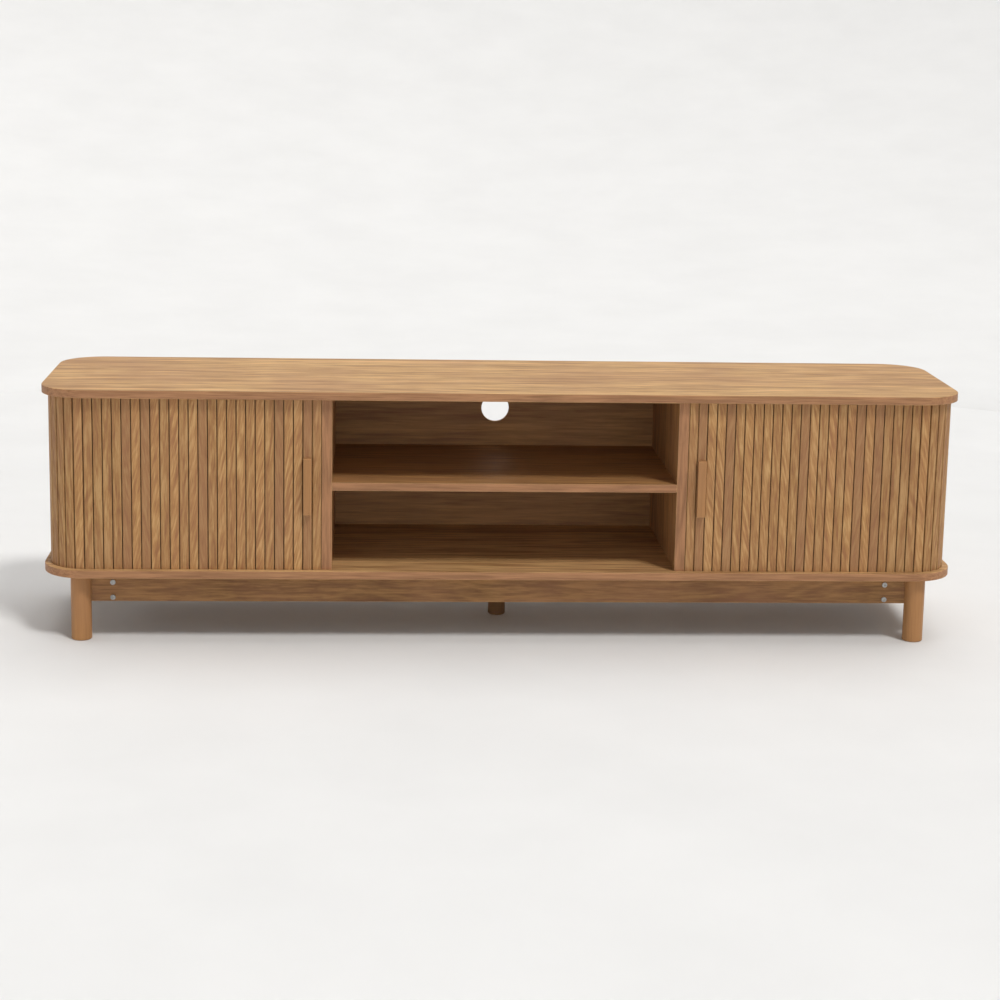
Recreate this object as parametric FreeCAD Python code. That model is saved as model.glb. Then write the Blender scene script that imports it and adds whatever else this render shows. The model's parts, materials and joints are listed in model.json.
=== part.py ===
import FreeCAD, Part
import math
import os

# A low media cabinet on legs: an open centre bay between two bays closed by tambour doors,
# which slide outwards, round the rounded ends and along the back.
# +X runs along the cabinet, the front faces -Y, and the feet stand on Z = 0. Millimetres.

# Outline of the two boards
length = 1800.0
depth = 420.0
height = 500.0
board_t = 16.0
board_underside = 130.0
side_overhang = 12.0
front_overhang = 14.0
arris = 1.0

# Tambour slats and their track
track_corner_r = 74.0
slat_pitch = 18.3
slat_gap = 1.8
slat_t = 5.0
slat_chamfer = 1.2
canvas_t = 1.0
groove_depth = 6.0
groove_clearance = 0.6
slat_end_gap = 1.0
front_slots = 25
lead_slots = 2
total_slots = 50
batten_t = 9.0
batten_end_gap = 3.0

# Carcass panels
partition_t = 20.0
centre_back_t = 8.0
centre_back_gap = 6.0
inner_panel_t = 12.0
inner_panel_gap = 5.0
end_panel_half_y = 138.0
shelf_top = 320.0
shelf_t = 16.0
cable_hole_r = 29.0
cable_hole_z = 400.0

# Base frame
leg_r = 20.0
leg_x = 825.0
leg_y = 172.0
leg_foot_chamfer = 2.0
centre_leg_r = 17.5
centre_leg_y = 20.0
rail_t = 18.0
rail_height = 54.0
rail_face_y = 174.0
block_x = 72.0
block_y = 45.0
block_height = 54.0

# Fasteners
rail_screw_x = 763.0
rail_screw_z = (84.0, 114.0)
rail_screw_r = 3.0
rail_screw_length = 45.0
rail_screw_head_r = 5.0
rail_screw_head_t = 3.0
socket_across_flats = 4.0
socket_depth = 2.0
handle_screw_r = 2.0
handle_screw_head_r = 4.0
handle_screw_head_t = 2.0
handle_screw_bite = 8.0
handle_screw_spacing = 76.0

# Bar handles
handle_width = 16.0
handle_reach = 12.5
handle_length = 112.0
handle_z = 313.0
handle_arris = 1.0

# Worked out from the sizes above
half_length = length / 2
half_depth = depth / 2
top_underside = height - board_t
floor_top = board_underside + board_t
board_corner_r = track_corner_r + side_overhang
track_x = half_length - side_overhang
track_y = half_depth - front_overhang
tangent_x = track_x - track_corner_r
arc_centre_y = track_corner_r - track_y
glue_r = track_corner_r - slat_t
canvas_r = glue_r - canvas_t
glue_y = -track_y + slat_t
partition_outer = tangent_x - front_slots * slat_pitch
partition_inner = partition_outer - partition_t
centre_back_face = half_depth - centre_back_gap - centre_back_t
slat_bottom = floor_top - groove_depth + slat_end_gap
slat_top = top_underside + groove_depth - slat_end_gap
lead_edge_x = partition_outer + lead_slots * slat_pitch
fixed_slot_x = tangent_x - slat_pitch
handle_x = partition_outer + (lead_slots - 0.5) * slat_pitch
rail_underside = board_underside - rail_height
up = FreeCAD.Vector(0, 0, 1)
forward = FreeCAD.Vector(0, -1, 0)


def box(x0, x1, y0, y1, z0, z1):
    corner = FreeCAD.Vector(x0, y0, z0)
    return Part.makeBox(x1 - x0, y1 - y0, z1 - z0, corner)


def cylinder(r, x, y, z0, z1):
    return Part.makeCylinder(r, z1 - z0, FreeCAD.Vector(x, y, z0), up)


def rod(r, x, z, y_back, y_front):
    """A round bar along Y, drawn from its back end towards the front."""
    return Part.makeCylinder(r, y_back - y_front, FreeCAD.Vector(x, y_back, z), forward)


def mirror_x(shape):
    return shape.mirror(FreeCAD.Vector(0, 0, 0), FreeCAD.Vector(1, 0, 0))


def mirror_y(shape):
    return shape.mirror(FreeCAD.Vector(0, 0, 0), FreeCAD.Vector(0, 1, 0))


def rounded_plate(half_x, half_y, corner_r, z0, z1):
    """A flat plate with four upright rounded corners, centred on the Z axis."""
    arcs = []
    for quarter in range(4):
        centre_x = (half_x - corner_r) * (1 if quarter in (0, 3) else -1)
        centre_y = (half_y - corner_r) * (1 if quarter in (0, 1) else -1)
        ring = []
        for step in range(3):
            angle = quarter * math.pi / 2 + step * math.pi / 4
            x = centre_x + corner_r * math.cos(angle)
            y = centre_y + corner_r * math.sin(angle)
            ring.append(FreeCAD.Vector(x, y, z0))
        arcs.append(ring)
    edges = []
    for quarter, ring in enumerate(arcs):
        edges.append(Part.makeLine(arcs[quarter - 1][2], ring[0]))
        edges.append(Part.Arc(*ring).toShape())
    face = Part.Face(Part.Wire(edges))
    return face.extrude(FreeCAD.Vector(0, 0, z1 - z0))


def track_groove(z0, z1):
    """The two U-shaped channels that guide the curtains, one round each end."""
    out = groove_clearance
    inset = slat_t + canvas_t + groove_clearance
    outer = rounded_plate(track_x + out, track_y + out, track_corner_r + out, z0, z1)
    inner = rounded_plate(track_x - inset, track_y - inset, track_corner_r - inset, z0, z1)
    middle = box(-partition_outer, partition_outer, -half_depth, half_depth, z0, z1)
    return outer.cut(inner).cut(middle)


def board(z0):
    plate = rounded_plate(half_length, half_depth, board_corner_r, z0, z0 + board_t)
    return plate.makeFillet(arris, level_edges(plate))


def level_edges(plate):
    return [e for e in plate.Edges if e.BoundBox.ZLength < arris]


def top_board():
    groove = track_groove(top_underside, top_underside + groove_depth)
    return board(top_underside).cut(groove)


def bottom_board():
    groove = track_groove(floor_top - groove_depth, floor_top)
    return board(board_underside).cut(groove)


def partition():
    return box(partition_inner, partition_outer, -track_y, centre_back_face, floor_top, top_underside)


def centre_shelf():
    z0 = shelf_top - shelf_t
    return box(-partition_inner, partition_inner, -track_y, centre_back_face, z0, shelf_top)


def centre_back_panel():
    back = centre_back_face + centre_back_t
    panel = box(-partition_outer, partition_outer, centre_back_face, back, floor_top, top_underside)
    return panel.cut(rod(cable_hole_r, 0, cable_hole_z, back, centre_back_face))


def outer_back_panel():
    back = centre_back_face + centre_back_t
    face = track_y + groove_clearance
    return box(partition_outer, tangent_x, face, back, floor_top, top_underside)


def inner_end_panel():
    x1 = track_x - slat_t - canvas_t - inner_panel_gap
    return box(x1 - inner_panel_t, x1, -end_panel_half_y, end_panel_half_y, floor_top, top_underside)


def inner_back_panel():
    y1 = track_y - slat_t - canvas_t - inner_panel_gap
    x1 = track_x - slat_t - canvas_t - inner_panel_gap - inner_panel_t
    y0 = y1 - inner_panel_t
    if y0 < end_panel_half_y:
        raise ValueError("the inner back panel would cross the end panel")
    return box(partition_outer, min(x1, tangent_x), y0, y1, floor_top, top_underside)


def track_place(distance):
    """Point on the glue face of the right-hand track, and the track's heading, at a distance
    measured from the partition."""
    straight = tangent_x - partition_outer
    arc = glue_r * math.pi / 2
    side = -2 * arc_centre_y
    if distance < straight:
        return partition_outer + distance, glue_y, 0.0
    distance -= straight
    if distance < arc:
        angle = distance / glue_r
        x = tangent_x + glue_r * math.sin(angle)
        y = arc_centre_y - glue_r * math.cos(angle)
        return x, y, angle
    distance -= arc
    if distance < side:
        return tangent_x + glue_r, arc_centre_y + distance, math.pi / 2
    angle = (distance - side) / glue_r
    x = tangent_x + glue_r * math.cos(angle)
    y = -arc_centre_y + glue_r * math.sin(angle)
    return x, y, math.pi / 2 + angle


def slat(slot):
    """One flat slat with its two outward arrises bevelled, standing in its slot of the track."""
    x, y, heading = track_place((slot + 0.5) * slat_pitch)
    half = (slat_pitch - slat_gap) / 2
    bevel = slat_chamfer
    outline = [(-half, 0), (half, 0), (half, bevel - slat_t), (half - bevel, -slat_t)]
    outline += [(bevel - half, -slat_t), (-half, bevel - slat_t)]
    points = [FreeCAD.Vector(px, py, 0) for px, py in outline]
    shape = Part.Face(Part.makePolygon(points + points[:1])).extrude(up * (slat_top - slat_bottom))
    shape.rotate(FreeCAD.Vector(0, 0, 0), up, math.degrees(heading))
    shape.translate(FreeCAD.Vector(x, y, slat_bottom))
    return shape


def slats(first, last):
    return Part.makeCompound([slat(slot) for slot in range(first, last)])


def handle_screw_heights():
    return [handle_z - handle_screw_spacing / 2, handle_z + handle_screw_spacing / 2]


def lead_stile():
    """The first slats of a door, stiffened by a batten behind them that clears both boards."""
    edge_gap = slat_gap / 2
    z0 = floor_top + batten_end_gap
    z1 = top_underside - batten_end_gap
    x0 = partition_outer + edge_gap
    x1 = lead_edge_x - edge_gap
    stile = box(x0, x1, glue_y, glue_y + batten_t, z0, z1)
    for slot in range(lead_slots):
        stile = stile.fuse(slat(slot))
    for z in handle_screw_heights():
        stile = stile.cut(rod(handle_screw_r, handle_x, z, glue_y + batten_t, -track_y))
    return stile


def handle():
    z0 = handle_z - handle_length / 2
    z1 = handle_z + handle_length / 2
    half = handle_width / 2
    bar = box(handle_x - half, handle_x + half, -track_y - handle_reach, -track_y, z0, z1)
    outer = [e for e in bar.Edges if e.BoundBox.YMax < -track_y - arris]
    bar = bar.makeFillet(handle_arris, outer)
    for z in handle_screw_heights():
        bar = bar.cut(rod(handle_screw_r, handle_x, z, -track_y, -track_y - handle_screw_bite))
    return bar


def handle_screws():
    back = glue_y + batten_t
    screws = []
    for z in handle_screw_heights():
        shank = rod(handle_screw_r, handle_x, z, back, -track_y - handle_screw_bite)
        head = rod(handle_screw_head_r, handle_x, z, back + handle_screw_head_t, back)
        screws.append(shank.fuse(head))
    return Part.makeCompound(screws)


def front_canvas():
    """The curtain's backing cloth from the lead stile to the last straight slot."""
    x0 = lead_edge_x
    return box(x0, fixed_slot_x, glue_y, glue_y + canvas_t, slat_bottom, slat_top)


def end_canvas():
    """The backing cloth from the last straight slot, round both corners, to the back."""
    z0 = slat_bottom
    z1 = slat_top
    inset = slat_t
    outer = rounded_plate(track_x - inset, track_y - inset, glue_r, z0, z1)
    inset += canvas_t
    inner = rounded_plate(track_x - inset, track_y - inset, canvas_r, z0, z1)
    ring = outer.cut(inner)
    front_end = fixed_slot_x + slat_gap / 2
    front = box(-length, front_end, -half_depth, 0, z0, z1)
    back = box(-length, tangent_x, 0, half_depth, z0, z1)
    return ring.cut(front).cut(back)


def leg(x, y, r):
    shape = cylinder(r, x, y, 0, board_underside)
    foot = [e for e in shape.Edges if e.BoundBox.ZMax < leg_foot_chamfer]
    return shape.makeChamfer(leg_foot_chamfer, foot)


def leg_sockets():
    """Round columns the size of the legs, to shape what is fitted against them."""
    columns = []
    for x in (-leg_x, leg_x):
        for y in (-leg_y, leg_y):
            columns.append(cylinder(leg_r, x, y, 0, board_underside))
    return columns


def coped(shape):
    for column in leg_sockets():
        shape = shape.cut(column)
    return shape


def screw_cutters():
    """Round columns the size of the front rail's screws, to clear their shanks."""
    back = rail_screw_length - rail_face_y
    cutters = []
    for x in (-rail_screw_x, rail_screw_x):
        for z in rail_screw_z:
            cutters.append(rod(rail_screw_r, x, z, back, -rail_face_y))
    return cutters


def front_rail():
    reach = leg_x - leg_r / 2
    y1 = -rail_face_y + rail_t
    rail = coped(box(-reach, reach, -rail_face_y, y1, rail_underside, board_underside))
    for cutter in screw_cutters():
        rail = rail.cut(cutter)
    return rail


def side_rail():
    x0 = leg_x - rail_t / 2
    return coped(box(x0, x0 + rail_t, -leg_y, leg_y, rail_underside, board_underside))


def corner_blocks():
    blocks = []
    x1 = leg_x - rail_t / 2
    y0 = -rail_face_y + rail_t
    z0 = board_underside - block_height
    block = coped(box(x1 - block_x, x1, y0, y0 + block_y, z0, board_underside))
    for cutter in screw_cutters():
        block = block.cut(cutter)
    for shape in (block, mirror_x(block)):
        blocks.append(shape)
        blocks.append(mirror_y(shape))
    return Part.makeCompound(blocks)


def hexagon_prism(x, z, y_back, y_front):
    points = []
    corner_r = socket_across_flats / math.sqrt(3)
    for corner in range(7):
        angle = corner * math.pi / 3
        px = x + corner_r * math.cos(angle)
        pz = z + corner_r * math.sin(angle)
        points.append(FreeCAD.Vector(px, y_back, pz))
    return Part.Face(Part.makePolygon(points)).extrude(forward * (y_back - y_front))


def rail_screws():
    """Socket screws, two at each end of the front and back rails."""
    screws = []
    face = -rail_face_y
    head_front = face - rail_screw_head_t
    for x in (-rail_screw_x, rail_screw_x):
        for z in rail_screw_z:
            shank = rod(rail_screw_r, x, z, face + rail_screw_length, face)
            head = rod(rail_screw_head_r, x, z, face, head_front)
            socket = hexagon_prism(x, z, head_front + socket_depth, head_front)
            screw = shank.fuse(head).cut(socket)
            screws.append(screw)
            screws.append(mirror_y(screw))
    return Part.makeCompound(screws)


def both_sides(name, shape):
    return {"right_" + name: shape, "left_" + name: mirror_x(shape)}


def nodes():
    parts = {
        "top_board": top_board(),
        "bottom_board": bottom_board(),
        "centre_shelf": centre_shelf(),
        "centre_back_panel": centre_back_panel(),
        "front_rail": front_rail(),
        "back_rail": mirror_y(front_rail()),
        "corner_blocks": corner_blocks(),
        "rail_screws": rail_screws(),
        "centre_leg": leg(0, centre_leg_y, centre_leg_r),
        "front_right_leg": leg(leg_x, -leg_y, leg_r),
        "front_left_leg": leg(-leg_x, -leg_y, leg_r),
        "back_right_leg": leg(leg_x, leg_y, leg_r),
        "back_left_leg": leg(-leg_x, leg_y, leg_r),
    }
    parts.update(both_sides("partition", partition()))
    parts.update(both_sides("inner_end_panel", inner_end_panel()))
    parts.update(both_sides("inner_back_panel", inner_back_panel()))
    parts.update(both_sides("outer_back_panel", outer_back_panel()))
    parts.update(both_sides("side_rail", side_rail()))
    parts.update(both_sides("lead_stile", lead_stile()))
    parts.update(both_sides("handle", handle()))
    parts.update(both_sides("handle_screws", handle_screws()))
    parts.update(both_sides("front_slats", slats(lead_slots, front_slots - 1)))
    parts.update(both_sides("front_canvas", front_canvas()))
    parts.update(both_sides("end_slats", slats(front_slots - 1, total_slots)))
    parts.update(both_sides("end_canvas", end_canvas()))
    return parts


os.makedirs("parts", exist_ok=True)
for node, solid in nodes().items():
    if not solid.isValid():
        raise ValueError(node + " is not a valid solid")
    solid.exportStep(os.path.join("parts", node + ".step"))
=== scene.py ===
import json
import math

import bmesh
import bpy
from mathutils import Matrix, Vector


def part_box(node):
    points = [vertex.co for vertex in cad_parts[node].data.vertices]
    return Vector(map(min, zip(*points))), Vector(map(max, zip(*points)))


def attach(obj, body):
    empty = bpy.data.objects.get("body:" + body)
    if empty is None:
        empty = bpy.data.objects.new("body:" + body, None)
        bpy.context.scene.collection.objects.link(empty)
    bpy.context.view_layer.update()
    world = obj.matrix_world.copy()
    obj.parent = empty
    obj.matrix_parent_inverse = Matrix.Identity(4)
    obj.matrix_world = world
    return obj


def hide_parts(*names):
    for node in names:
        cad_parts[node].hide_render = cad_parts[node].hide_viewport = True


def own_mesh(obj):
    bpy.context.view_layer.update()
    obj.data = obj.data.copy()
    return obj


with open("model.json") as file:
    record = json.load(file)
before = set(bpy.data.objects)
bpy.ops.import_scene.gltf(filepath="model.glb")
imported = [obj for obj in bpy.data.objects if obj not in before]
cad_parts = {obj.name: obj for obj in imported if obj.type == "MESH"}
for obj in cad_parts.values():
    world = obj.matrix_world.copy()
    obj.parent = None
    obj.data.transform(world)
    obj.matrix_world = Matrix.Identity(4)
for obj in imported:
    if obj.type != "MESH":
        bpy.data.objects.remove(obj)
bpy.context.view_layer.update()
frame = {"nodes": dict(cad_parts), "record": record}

# --- Sizes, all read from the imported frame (metres) ---------------------------------------------
LEAD_SLOTS = 2
FRONT_SLOTS = 25
ARRIS = 0.001
NEST = 0.00012          # how much thinner the curtain is than the fixed slat it slides into

travel = max(j["range_m"][1] for j in frame["record"]["behaviour"]["joints"])
pitch = travel / (FRONT_SLOTS - 1 - LEAD_SLOTS)
partition_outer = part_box("right_partition")[1][0]
slats_lo, slats_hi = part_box("right_front_slats")
canvas_lo, canvas_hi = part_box("right_front_canvas")
end_slats_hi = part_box("right_end_slats")[1]
tangent_x = partition_outer + FRONT_SLOTS * pitch
fixed_slot_x = tangent_x - pitch
slat_gap = 2 * (slats_lo[0] - partition_outer - LEAD_SLOTS * pitch)
slat_face_y = slats_lo[1]
glue_y = slats_hi[1]
slat_t = glue_y - slat_face_y
glue_r = end_slats_hi[0] - slat_t - tangent_x
arc_y = slat_face_y + slat_t + glue_r


# --- Node helpers -------------------------------------------------------------------------------
class Shader:
    """A short way to write a node material."""

    def __init__(self, name):
        self.material = bpy.data.materials.new(name)
        self.material.use_nodes = True
        self.nodes = self.material.node_tree.nodes
        self.links = self.material.node_tree.links
        self.bsdf = self.nodes["Principled BSDF"]

    def set(self, socket, value):
        if isinstance(value, bpy.types.NodeSocket):
            self.links.new(value, socket)
        else:
            socket.default_value = value

    def node(self, kind, inputs=None, **settings):
        made = self.nodes.new(kind)
        for key, value in settings.items():
            setattr(made, key, value)
        for key, value in (inputs or {}).items():
            self.set(made.inputs[key], value)
        return made

    def math(self, operation, a, b=0.0, c=0.0):
        made = self.node("ShaderNodeMath", {0: a, 1: b, 2: c}, operation=operation)
        return made.outputs[0]

    def place(self):
        return self.node("ShaderNodeTexCoord").outputs["Object"]

    def split(self, vector):
        return self.node("ShaderNodeSeparateXYZ", {0: vector}).outputs

    def join(self, x, y, z):
        return self.node("ShaderNodeCombineXYZ", {0: x, 1: y, 2: z}).outputs[0]

    def noise(self, vector, scale, detail=4.0, roughness=0.55, distortion=0.0):
        inputs = {"Vector": vector, "Scale": scale, "Detail": detail}
        inputs.update({"Roughness": roughness, "Distortion": distortion})
        return self.node("ShaderNodeTexNoise", inputs).outputs["Fac"]

    def ramp(self, fac, stops):
        made = self.node("ShaderNodeValToRGB", {0: fac})
        elements = made.color_ramp.elements
        while len(elements) < len(stops):
            elements.new(0.5)
        for element, (position, colour) in zip(elements, stops):
            element.position = position
            element.color = (*colour, 1.0)
        return made.outputs[0]

    def grey(self, fac, low, high, out_low=0.0, out_high=1.0):
        inputs = {0: fac, 1: low, 2: high, 3: out_low, 4: out_high}
        return self.node("ShaderNodeMapRange", inputs, clamp=True).outputs[0]

    def mix(self, fac, a, b, blend="MIX"):
        made = self.node("ShaderNodeMix", data_type="RGBA", blend_type=blend)
        self.set(made.inputs[0], fac)
        self.set(made.inputs[6], a)
        self.set(made.inputs[7], b)
        return made.outputs[2]

    def bump(self, height, distance, strength=1.0, normal=None):
        inputs = {"Height": height, "Distance": distance, "Strength": strength}
        if normal is not None:
            inputs["Normal"] = normal
        return self.node("ShaderNodeBump", inputs).outputs[0]

    def edge_highlight_and_wear(self, radius):
        """1 on sharp arrises, 0 on flat faces, with the rounded normal for the bump to start from. On
        wood the mask lays a painted highlight, on steel worn bright edges.
        """
        rounded = self.node("ShaderNodeBevel", {"Radius": radius}, samples=4).outputs[0]
        flat = self.node("ShaderNodeNewGeometry").outputs["Normal"]
        facing = self.node("ShaderNodeVectorMath", {0: rounded, 1: flat}, operation="DOT_PRODUCT")
        return self.grey(facing.outputs["Value"], 0.99, 0.86), rounded


def shade(rgb, factor):
    return tuple(channel * factor for channel in rgb)


# --- Wood ---------------------------------------------------------------------------------------
OAK = (0.42, 0.218, 0.082)
OAK_PINK = (0.35, 0.172, 0.086)
OAK_DARK = (0.17, 0.078, 0.033)
OAK_LIGHT = (0.60, 0.36, 0.155)
TURNED = (0.40, 0.20, 0.076)
RING_COUNT = 96.0       # how many growth rings one unit of the figure's noise sweeps through
RING_SHARE = 0.16       # how strongly the rings, and then the broad figure, push the tone
SLAT_BROAD_SHARE = 0.35
BROAD_SHARE = 0.55
STREAK_RATIO = 18.0     # streaks and broad figure, in cycles for each cycle of the rings' field
BROAD_RATIO = 3.2
RAMP_HALF = 0.17
FIBRE_STRETCH = 0.02
SLAT_FIBRE_STRETCH = 0.03
SLAT_LEAN = 0.42        # the spread of the grain's slope from slat to slat, and its balance
SLAT_LEAN_MIDDLE = 0.35
SLAT_DRIFT = 0.017
SLAT_SHIFT = 0.3
SLAT_TONES = (0.84, 1.12)
PINK_SLATS = (0.18, 0.20)
PINK_SLAT_SHARE = 0.45
PORE_SCALE = 640.0
PORE_SHARE = 0.38
BLOTCH_SCALE = 5.0
BLOTCH_SHARE = 0.4
EDGING_SHARE = 0.9
# painted highlight: a lighter oak laid along the sharp arrises, standing in for the bright line the
# light catches there; the arrises are also made a little glossier
HIGHLIGHT_RADIUS = ARRIS * 2.0
HIGHLIGHT_SHARE = 0.75
ARRIS_POLISH = 0.08
WOOD_SPECULAR = 0.22
GRAIN_DEPTH = 0.00018


def opaque(rgb):
    return (*rgb, 1.0)


def slat_grain(s, run, y, z, stretch):
    """Each slat's own tone, its own leaning stretch of grain, and its fibres."""
    slot = s.math("FLOOR", s.math("DIVIDE", run, pitch))
    tone = s.node("ShaderNodeTexWhiteNoise", {"W": slot}, noise_dimensions="1D").outputs[0]
    lean = s.math("MULTIPLY", s.math("SUBTRACT", tone, SLAT_LEAN_MIDDLE), SLAT_LEAN)
    across = s.math("ADD", run, s.math("MULTIPLY", z, lean))
    drift = s.math("MULTIPLY", slot, SLAT_DRIFT)
    along = s.math("MULTIPLY_ADD", z, stretch, s.math("MULTIPLY", tone, SLAT_SHIFT))
    return tone, s.join(across, drift, along), s.join(run, y, s.math("MULTIPLY", z, SLAT_FIBRE_STRETCH))


def edging_mask(s, banded):
    """Where the edging strip shows: on upright faces ("side"), or on those that face front or back."""
    _, facing_y, facing_z = s.split(s.node("ShaderNodeNewGeometry").outputs["Normal"])
    if banded == "side":
        return s.grey(s.math("ABSOLUTE", facing_z), 0.4, 0.6, EDGING_SHARE, 0.0)
    return s.grey(s.math("ABSOLUTE", facing_y), 0.4, 0.6, 0.0, EDGING_SHARE)


def wood(
    name, axis, tones, stretch=0.08, figure=9.0, contrast=1.0, gloss=0.5, per_slat=None, banded=None,
):
    """Lacquered timber. axis is the grain's direction: X or Z. Growth rings are the contour lines
    of a noise field drawn out along the grain. per_slat gives each slat its own tone and its own
    stretch of grain: "track" finds the slat from its place, "stored" reads it from the mesh.
    banded names the faces that carry edging strip: "side" or "front"."""
    s = Shader(name)
    x, y, z = s.split(s.place())
    tone = None
    if per_slat:
        run = stored_run(s) if per_slat == "stored" else track_run(s, x, y)
        tone, grain, fibre = slat_grain(s, run, y, z, stretch)
    elif axis == "X":
        grain = s.join(s.math("MULTIPLY", x, stretch), y, z)
        fibre = s.join(s.math("MULTIPLY", x, FIBRE_STRETCH), y, z)
    else:
        grain = s.join(x, y, s.math("MULTIPLY", z, stretch))
        fibre = s.join(x, y, s.math("MULTIPLY", z, FIBRE_STRETCH))
    field = s.noise(grain, figure, 2.0, 0.45, 0.4)
    rings = s.math("MULTIPLY_ADD", s.math("SINE", s.math("MULTIPLY", field, RING_COUNT)), 0.5, 0.5)
    streaks = s.noise(grain, figure * STREAK_RATIO, 4.0, 0.6, 0.3)
    broad = s.noise(grain, figure * BROAD_RATIO, 3.0, 0.5, 0.5)
    pores = s.noise(fibre, PORE_SCALE, 2.0, 0.5)
    blotch = s.noise(s.place(), BLOTCH_SCALE, 2.0, 0.5)
    broad_share = SLAT_BROAD_SHARE if per_slat else BROAD_SHARE
    figured = s.math("MULTIPLY_ADD", s.math("SUBTRACT", rings, 0.5), RING_SHARE * contrast, streaks)
    figured = s.math("MULTIPLY_ADD", s.math("SUBTRACT", broad, 0.5), broad_share, figured)
    dark, mid, light = tones
    half = RAMP_HALF / contrast
    colour = s.ramp(figured, [(0.5 - half, dark), (0.5, mid), (0.5 + half, light)])
    colour = s.mix(s.grey(blotch, 0.4, 0.7, 0.0, BLOTCH_SHARE), colour, opaque(OAK_PINK))
    if per_slat:
        value = s.grey(tone, 0.0, 1.0, *SLAT_TONES)
        colour = s.mix(1.0, colour, s.join(value, value, value), "MULTIPLY")
        colour = s.mix(s.grey(tone, *PINK_SLATS, PINK_SLAT_SHARE, 0.0), colour, opaque(OAK_PINK))
    if banded:
        strip = edging_mask(s, banded)
        edging = s.ramp(streaks, [(0.36, shade(OAK_PINK, 0.80)), (0.62, shade(OAK_PINK, 1.16))])
        colour = s.mix(strip, colour, edging)
    colour = s.mix(s.grey(pores, 0.55, 0.68, 0.0, PORE_SHARE * contrast), colour, opaque(OAK_DARK))
    # painted highlight: the arrises take a lighter oak, OAK_LIGHT
    highlight_and_wear, rounded = s.edge_highlight_and_wear(HIGHLIGHT_RADIUS)
    colour = s.mix(s.math("MULTIPLY", highlight_and_wear, HIGHLIGHT_SHARE), colour, opaque(OAK_LIGHT))
    s.set(s.bsdf.inputs["Base Color"], colour)
    rough = s.grey(pores, 0.3, 0.8, gloss - 0.04, gloss + 0.16)
    polished = s.math("SUBTRACT", rough, s.math("MULTIPLY", highlight_and_wear, ARRIS_POLISH))
    s.set(s.bsdf.inputs["Roughness"], polished)
    s.bsdf.inputs["Specular IOR Level"].default_value = WOOD_SPECULAR
    depth = s.math("MULTIPLY_ADD", pores, -0.7, s.math("MULTIPLY", streaks, 0.4))
    s.set(s.bsdf.inputs["Normal"], s.bump(depth, GRAIN_DEPTH, 0.6, rounded))
    return s.material


def track_run(s, x, y):
    """How far along the curtain's track a place is, from the partition round to the back."""
    across = s.math("ABSOLUTE", x)
    beyond = s.math("MAXIMUM", s.math("SUBTRACT", across, tangent_x), 0.0)
    straight = s.math("SUBTRACT", s.math("MINIMUM", across, tangent_x), partition_outer)
    before_side = s.math("MAXIMUM", s.math("SUBTRACT", arc_y, y), 0.0)
    past_side = s.math("MAXIMUM", s.math("ADD", y, arc_y), 0.0)
    front_arc = s.math("MULTIPLY", s.math("ARCTAN2", beyond, before_side), glue_r)
    back_arc = s.math("MULTIPLY", s.math("ARCTAN2", past_side, beyond), glue_r)
    side = s.math("MINIMUM", s.math("MAXIMUM", s.math("SUBTRACT", y, arc_y), 0.0), -2 * arc_y)
    return s.math("ADD", s.math("ADD", straight, front_arc), s.math("ADD", side, back_arc))


def stored_run(s):
    """The same distance, kept on the mesh, so that it stays with a slat even if the slat is moved."""
    return s.node("ShaderNodeAttribute", attribute_name="run").outputs["Fac"]


STEEL_DARK = (0.26, 0.25, 0.24)
STEEL_LIGHT = (0.46, 0.46, 0.45)
STEEL_WORN = (0.70, 0.70, 0.69)
STEEL_WEAR_RADIUS = 0.0003
BRUSH_SCALE = 2600.0
BRUSH_DEPTH = 0.00003


def steel():
    s = Shader("bright_steel")
    x, y, z = s.split(s.place())
    brushed = s.noise(s.join(x, s.math("MULTIPLY", y, 0.1), z), BRUSH_SCALE, 3.0)
    tarnish = s.noise(s.place(), 160.0, 4.0)
    colour = s.ramp(tarnish, [(0.3, STEEL_DARK), (0.7, STEEL_LIGHT)])
    highlight_and_wear, rounded = s.edge_highlight_and_wear(STEEL_WEAR_RADIUS)
    colour = s.mix(s.math("MULTIPLY", highlight_and_wear, 0.5), colour, opaque(STEEL_WORN))
    s.set(s.bsdf.inputs["Base Color"], colour)
    s.bsdf.inputs["Metallic"].default_value = 1.0
    s.set(s.bsdf.inputs["Roughness"], s.grey(brushed, 0.3, 0.7, 0.24, 0.42))
    s.set(s.bsdf.inputs["Normal"], s.bump(brushed, BRUSH_DEPTH, 0.5, rounded))
    return s.material


# The cloth's dark warm brown is partly its own colour and partly painted shade: it is set to the shade
# seen in the narrow gaps between the slats.
CLOTH_DARK = (0.060, 0.036, 0.020)
CLOTH_LIGHT = (0.105, 0.066, 0.038)
CLOTH_THREAD = (0.17, 0.115, 0.07)
THREAD_PITCH = 0.0012
WEAVE_DEPTH = 0.0002


def canvas():
    s = Shader("backing_cloth")
    x, y, z = s.split(s.place())
    run = s.math("ADD", s.math("ABSOLUTE", x), y)
    thread = 2 * math.pi / THREAD_PITCH
    warp = s.math("SINE", s.math("MULTIPLY", run, thread))
    weft = s.math("SINE", s.math("MULTIPLY", z, thread))
    weave = s.math("MULTIPLY_ADD", warp, weft, 1.0)
    dirt = s.noise(s.place(), 22.0, 4.0)
    colour = s.ramp(dirt, [(0.3, CLOTH_DARK), (0.7, CLOTH_LIGHT)])
    colour = s.mix(s.grey(weave, 0.2, 1.8, 0.0, 0.4), colour, opaque(CLOTH_THREAD))
    s.set(s.bsdf.inputs["Base Color"], colour)
    s.set(s.bsdf.inputs["Roughness"], s.grey(dirt, 0.2, 0.8, 0.82, 0.96))
    s.set(s.bsdf.inputs["Normal"], s.bump(weave, WEAVE_DEPTH, 0.7))
    return s.material


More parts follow.
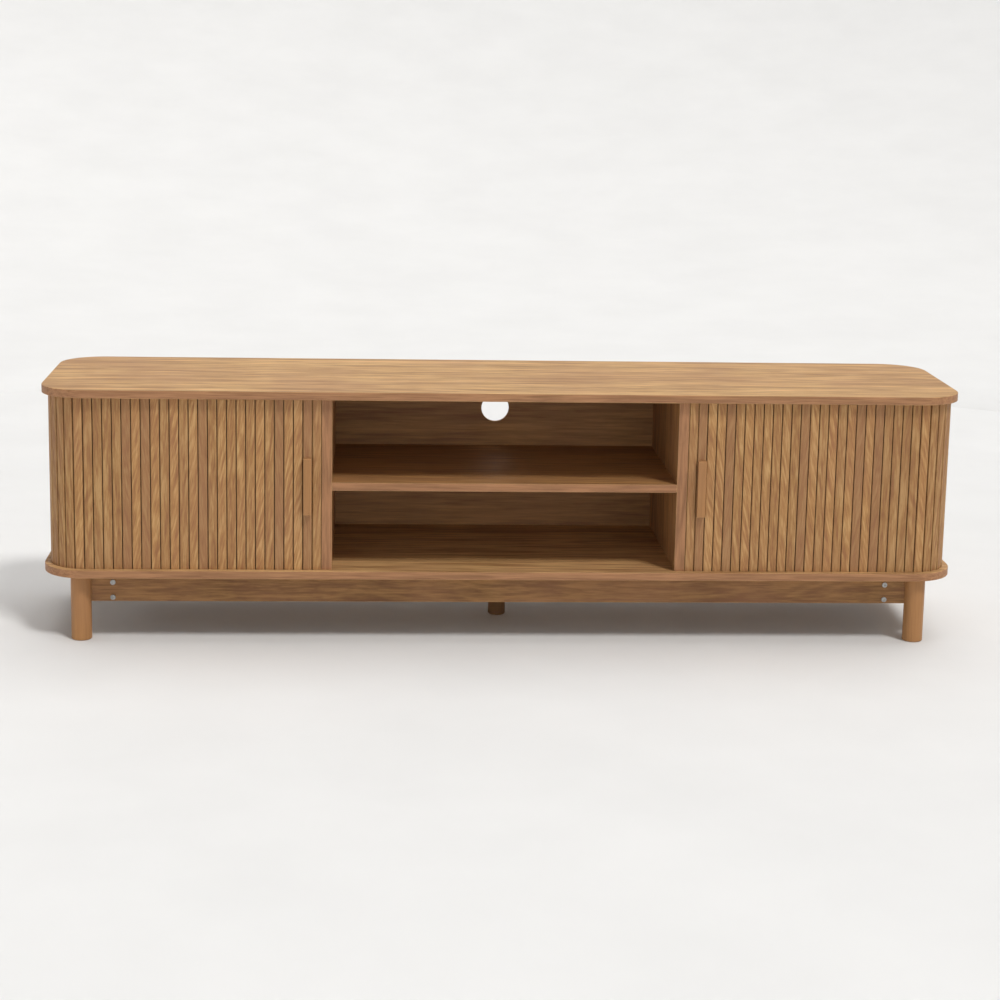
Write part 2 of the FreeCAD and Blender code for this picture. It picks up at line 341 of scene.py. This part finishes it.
board_tones = (shade(OAK, 0.80), shade(OAK_LIGHT, 0.86), shade(OAK_LIGHT, 1.12))
panel_tones = (shade(OAK_DARK, 1.5), shade(OAK, 0.86), shade(OAK, 1.15))
rail_tones = (shade(OAK_DARK, 1.1), shade(OAK, 0.62), shade(OAK, 0.86))
slat_tones = (shade(OAK_DARK, 1.7), shade(OAK, 0.95), shade(OAK_LIGHT, 0.88))
turned_tones = (shade(TURNED, 0.86), TURNED, shade(TURNED, 1.12))
# painted shade: a much darker oak for the centre leg, standing in for the shade it stands in under the
# bottom board
painted_shade_tones = (shade(TURNED, 0.34), shade(TURNED, 0.42), shade(TURNED, 0.5))
block_tones = ((0.34, 0.22, 0.12), (0.46, 0.32, 0.18), (0.56, 0.42, 0.26))

board_grain = {"stretch": 0.045, "figure": 12.0, "contrast": 1.15, "banded": "side"}
slat_figure = {"stretch": 0.10, "figure": 16.0, "contrast": 0.85}

MATERIALS = {
    "board_oak": wood("board_oak", "X", board_tones, **board_grain),
    "panel_oak_x": wood("panel_oak_x", "X", panel_tones, stretch=0.06, contrast=0.75),
    "shelf_oak": wood("shelf_oak", "X", panel_tones, stretch=0.06, contrast=0.8, banded="front"),
    "panel_oak_z": wood("panel_oak_z", "Z", panel_tones, stretch=0.1, banded="front"),
    "rail_oak": wood("rail_oak", "X", rail_tones, stretch=0.10, figure=13.0, contrast=0.9),
    "slat_oak": wood("slat_oak", "Z", slat_tones, per_slat="track", **slat_figure),
    "curtain_oak": wood("curtain_oak", "Z", slat_tones, per_slat="stored", **slat_figure),
    "turned_oak": wood("turned_oak", "Z", turned_tones, stretch=0.05, contrast=0.55, gloss=0.4),
    "painted_shade_oak": wood("painted_shade_oak", "Z", painted_shade_tones, stretch=0.05, contrast=0.55, gloss=0.5),
    "block_wood": wood("block_wood", "X", block_tones, figure=14.0, gloss=0.66),
    "canvas": canvas(),
    "steel": steel(),
}

UPRIGHT = ("partition", "inner_end_panel")


def material_for(node, slot):
    if node.endswith("rail"):
        return MATERIALS["rail_oak"]
    # the centre leg takes the darkened oak, its painted shade
    if node == "centre_leg":
        return MATERIALS["painted_shade_oak"]
    if node == "centre_shelf":
        return MATERIALS["shelf_oak"]
    if slot == "panel_oak":
        upright = any(word in node for word in UPRIGHT)
        return MATERIALS["panel_oak_z" if upright else "panel_oak_x"]
    return MATERIALS[slot]


for entry in frame["record"]["subparts"]:
    slots = frame["nodes"][entry["node"]].data.materials
    slots.clear()
    slots.append(material_for(entry["node"], entry["material_slot"]))


# --- The front stretch of each curtain ----------------------------------------------------------
ROUNDING = ARRIS * 1.1
ROUNDING_STEPS = 3


def add_prism(mesh, layer, outline, z0, z1):
    """An upright slat or strip from its outline in plan, its ends set back a hair, with its place
    along the track stored on it."""
    rings = []
    for z in (z0, z0 + ARRIS / 2, z1 - ARRIS / 2, z1):
        tuck = ARRIS / 4 if z in (z0, z1) else 0.0
        ring = []
        for px, py in outline:
            vertex = mesh.verts.new((px, py + tuck, z))
            vertex[layer] = abs(px) - partition_outer
            ring.append(vertex)
        rings.append(ring)
    count = len(outline)
    for low, high in zip(rings, rings[1:]):
        for i in range(count):
            mesh.faces.new((low[i], low[(i + 1) % count], high[(i + 1) % count], high[i]))
    mesh.faces.new(tuple(reversed(rings[0])))
    mesh.faces.new(tuple(rings[-1]))


def slat_outline(centre_x, width, y_front, y_back):
    """Square at the back, with the two front arrises rounded over."""
    half = width / 2
    radius = ROUNDING
    outline = [(centre_x + half, y_back), (centre_x - half, y_back)]
    corners = (
        (centre_x - half + radius, math.pi),
        (centre_x + half - radius, 1.5 * math.pi),
    )
    for corner_x, start in corners:
        for step in range(ROUNDING_STEPS + 1):
            angle = start + step * math.pi / 2 / ROUNDING_STEPS
            x = corner_x + radius * math.cos(angle)
            y = y_front + radius + radius * math.sin(angle)
            outline.append((x, y))
    return outline


def new_piece(name, mesh, material):
    bmesh.ops.recalc_face_normals(mesh, faces=mesh.faces)
    data = bpy.data.meshes.new(name)
    mesh.to_mesh(data)
    mesh.free()
    data.materials.append(material)
    piece = bpy.data.objects.new(name, data)
    bpy.context.collection.objects.link(piece)
    return piece


def curtain(side):
    """One door's slats and the cloth behind them, across the front stretch of the track; on the real
    door they gather at the corner as it opens.
    """
    sign = 1 if side == "right" else -1
    z0 = slats_lo[2] + NEST
    z1 = slats_hi[2] - NEST
    mesh = bmesh.new()
    layer = mesh.verts.layers.float.new("run")
    for slot in range(LEAD_SLOTS, FRONT_SLOTS - 1):
        centre = partition_outer + (slot + 0.5) * pitch
        outline = slat_outline(sign * centre, pitch - slat_gap, slat_face_y + NEST, glue_y)
        add_prism(mesh, layer, outline, z0, z1)
    slats = new_piece(side + "_curtain_slats", mesh, MATERIALS["curtain_oak"])

    mesh = bmesh.new()
    layer = mesh.verts.layers.float.new("run")
    x0 = sign * (partition_outer + LEAD_SLOTS * pitch)
    x1 = sign * fixed_slot_x
    y0 = canvas_lo[1]
    y1 = canvas_hi[1] - NEST
    outline = [(x0, y0), (x1, y0), (x1, y1), (x0, y1)]
    add_prism(mesh, layer, outline, z0, z1)
    cloth = new_piece(side + "_curtain_cloth", mesh, MATERIALS["canvas"])

    for piece, node in ((slats, "front_slats"), (cloth, "front_canvas")):
        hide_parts(side + "_" + node)
        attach(piece, "cabinet")
        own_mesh(piece)


curtain("left")
curtain("right")


# --- Studio -------------------------------------------------------------------------------------
SWEEP_FLAT = 3.0
SWEEP_BEND = 14.0
SWEEP_HEIGHT = 15.0
SWEEP_STEPS = 48
SWEEP_SPOKES = 96
FLOOR_PALE = (0.74, 0.74, 0.74)
FLOOR_PALER = (0.77, 0.77, 0.77)
SOFTBOX_SIZE = (3.2, 1.4)
SOFTBOX_POWER = 26.0
SOFTBOX_PLACE = (0.7, -6.2, 0.9)
SOFTBOX_AIM = (0.0, 0.0, 0.3)
KEY_TINT = (1.0, 0.985, 0.96)
OVERHEAD_TINT = (1.0, 0.99, 0.97)
WORLD_WHITE = (1.0, 1.0, 1.0)
WORLD_STRENGTH = 0.15


def floor():
    """A round studio sweep: a level floor that curves up into a wall far behind the object."""
    profile = [(SWEEP_FLAT, 0.0)]
    for step in range(1, SWEEP_STEPS + 1):
        angle = step / SWEEP_STEPS * math.pi / 2
        profile.append((
            SWEEP_FLAT + SWEEP_BEND * math.sin(angle),
            SWEEP_BEND * (1 - math.cos(angle)),
        ))
    profile.append((SWEEP_FLAT + SWEEP_BEND, SWEEP_HEIGHT))
    mesh = bmesh.new()
    rings = []
    for radius, height in profile:
        ring = []
        for spoke in range(SWEEP_SPOKES):
            turn = spoke / SWEEP_SPOKES * 2 * math.pi
            ring.append(mesh.verts.new((radius * math.cos(turn), radius * math.sin(turn), height)))
        rings.append(ring)
    mesh.faces.new(rings[0])
    for lower, upper in zip(rings, rings[1:]):
        for spoke in range(SWEEP_SPOKES):
            after = (spoke + 1) % SWEEP_SPOKES
            face = mesh.faces.new((lower[spoke], lower[after], upper[after], upper[spoke]))
            face.smooth = True
    data = bpy.data.meshes.new("studio_floor")
    mesh.to_mesh(data)
    mesh.free()
    s = Shader("pale_floor")
    mottled = s.noise(s.place(), 3.0, 3.0)
    s.set(s.bsdf.inputs["Base Color"], s.ramp(mottled, [(0.3, FLOOR_PALE), (0.7, FLOOR_PALER)]))
    s.bsdf.inputs["Roughness"].default_value = 0.9
    s.bsdf.inputs["Specular IOR Level"].default_value = 0.1
    data.materials.append(s.material)
    ground = bpy.data.objects.new("studio_floor", data)
    bpy.context.collection.objects.link(ground)


def soft_sun(name, azimuth, elevation, spread, power, tint):
    """A distant soft light at a bearing round the object: 0 is straight in front, 90 its right end."""
    light = bpy.data.lights.new(name, "SUN")
    light.angle = math.radians(spread)
    light.energy = power
    light.color = tint
    turn = math.radians(azimuth)
    rise = math.radians(elevation)
    towards = Vector((
        math.sin(turn) * math.cos(rise),
        -math.cos(turn) * math.cos(rise),
        math.sin(rise),
    ))
    lamp = bpy.data.objects.new(name, light)
    lamp.rotation_euler = towards.to_track_quat("Z", "Y").to_euler()
    bpy.context.collection.objects.link(lamp)


def low_softbox():
    """A broad dim box in front and low down, which reaches the back of the open bay."""
    light = bpy.data.lights.new("low_softbox", "AREA")
    light.shape = "RECTANGLE"
    light.size, light.size_y = SOFTBOX_SIZE
    light.energy = SOFTBOX_POWER
    lamp = bpy.data.objects.new("low_softbox", light)
    lamp.location = SOFTBOX_PLACE
    aim = Vector(SOFTBOX_AIM) - lamp.location
    lamp.rotation_euler = aim.to_track_quat("-Z", "Y").to_euler()
    lamp.visible_camera = False
    bpy.context.collection.objects.link(lamp)


def studio():
    floor()
    low_softbox()
    soft_sun("key", azimuth=38.0, elevation=56.0, spread=12.0, power=1.66, tint=KEY_TINT)
    soft_sun("overhead", azimuth=150.0, elevation=74.0, spread=50.0, power=1.38, tint=OVERHEAD_TINT)
    world = bpy.data.worlds.new("studio_world")
    world.use_nodes = True
    background = world.node_tree.nodes["Background"]
    background.inputs["Color"].default_value = opaque(WORLD_WHITE)
    background.inputs["Strength"].default_value = WORLD_STRENGTH
    bpy.context.scene.world = world
    bpy.context.scene.view_settings.view_transform = "Standard"


# --- Camera: a little left of the middle, looking slightly down ---------------------------------
CAMERA_PLACE = (-0.2624, -4.3195, 1.2069)
CAMERA_YAW = -3.468
CAMERA_PITCH = -10.698
CAMERA_ROLL = 1.087
CAMERA_LENS = 78.12
CAMERA_SENSOR = 36.0
CAMERA_SHIFT_Y = -0.07
CAMERA_REACH = 200.0


def camera():
    yaw, pitch_angle, roll = (math.radians(a) for a in (CAMERA_YAW, CAMERA_PITCH, CAMERA_ROLL))
    look = Vector((
        -math.sin(yaw) * math.cos(pitch_angle),
        math.cos(yaw) * math.cos(pitch_angle),
        math.sin(pitch_angle),
    ))
    level = Vector((math.cos(yaw), math.sin(yaw), 0.0))
    upright = level.cross(look)
    right = math.cos(roll) * level + math.sin(roll) * upright
    top = math.cos(roll) * upright - math.sin(roll) * level
    lens = bpy.data.cameras.new("camera")
    lens.lens = CAMERA_LENS
    lens.sensor_width = CAMERA_SENSOR
    lens.shift_y = CAMERA_SHIFT_Y
    lens.clip_end = CAMERA_REACH
    eye = bpy.data.objects.new("camera", lens)
    turn = Matrix((right, top, -look)).transposed()
    eye.matrix_world = Matrix.Translation(CAMERA_PLACE) @ turn.to_4x4()
    bpy.context.collection.objects.link(eye)
    bpy.context.scene.camera = eye


studio()
camera()
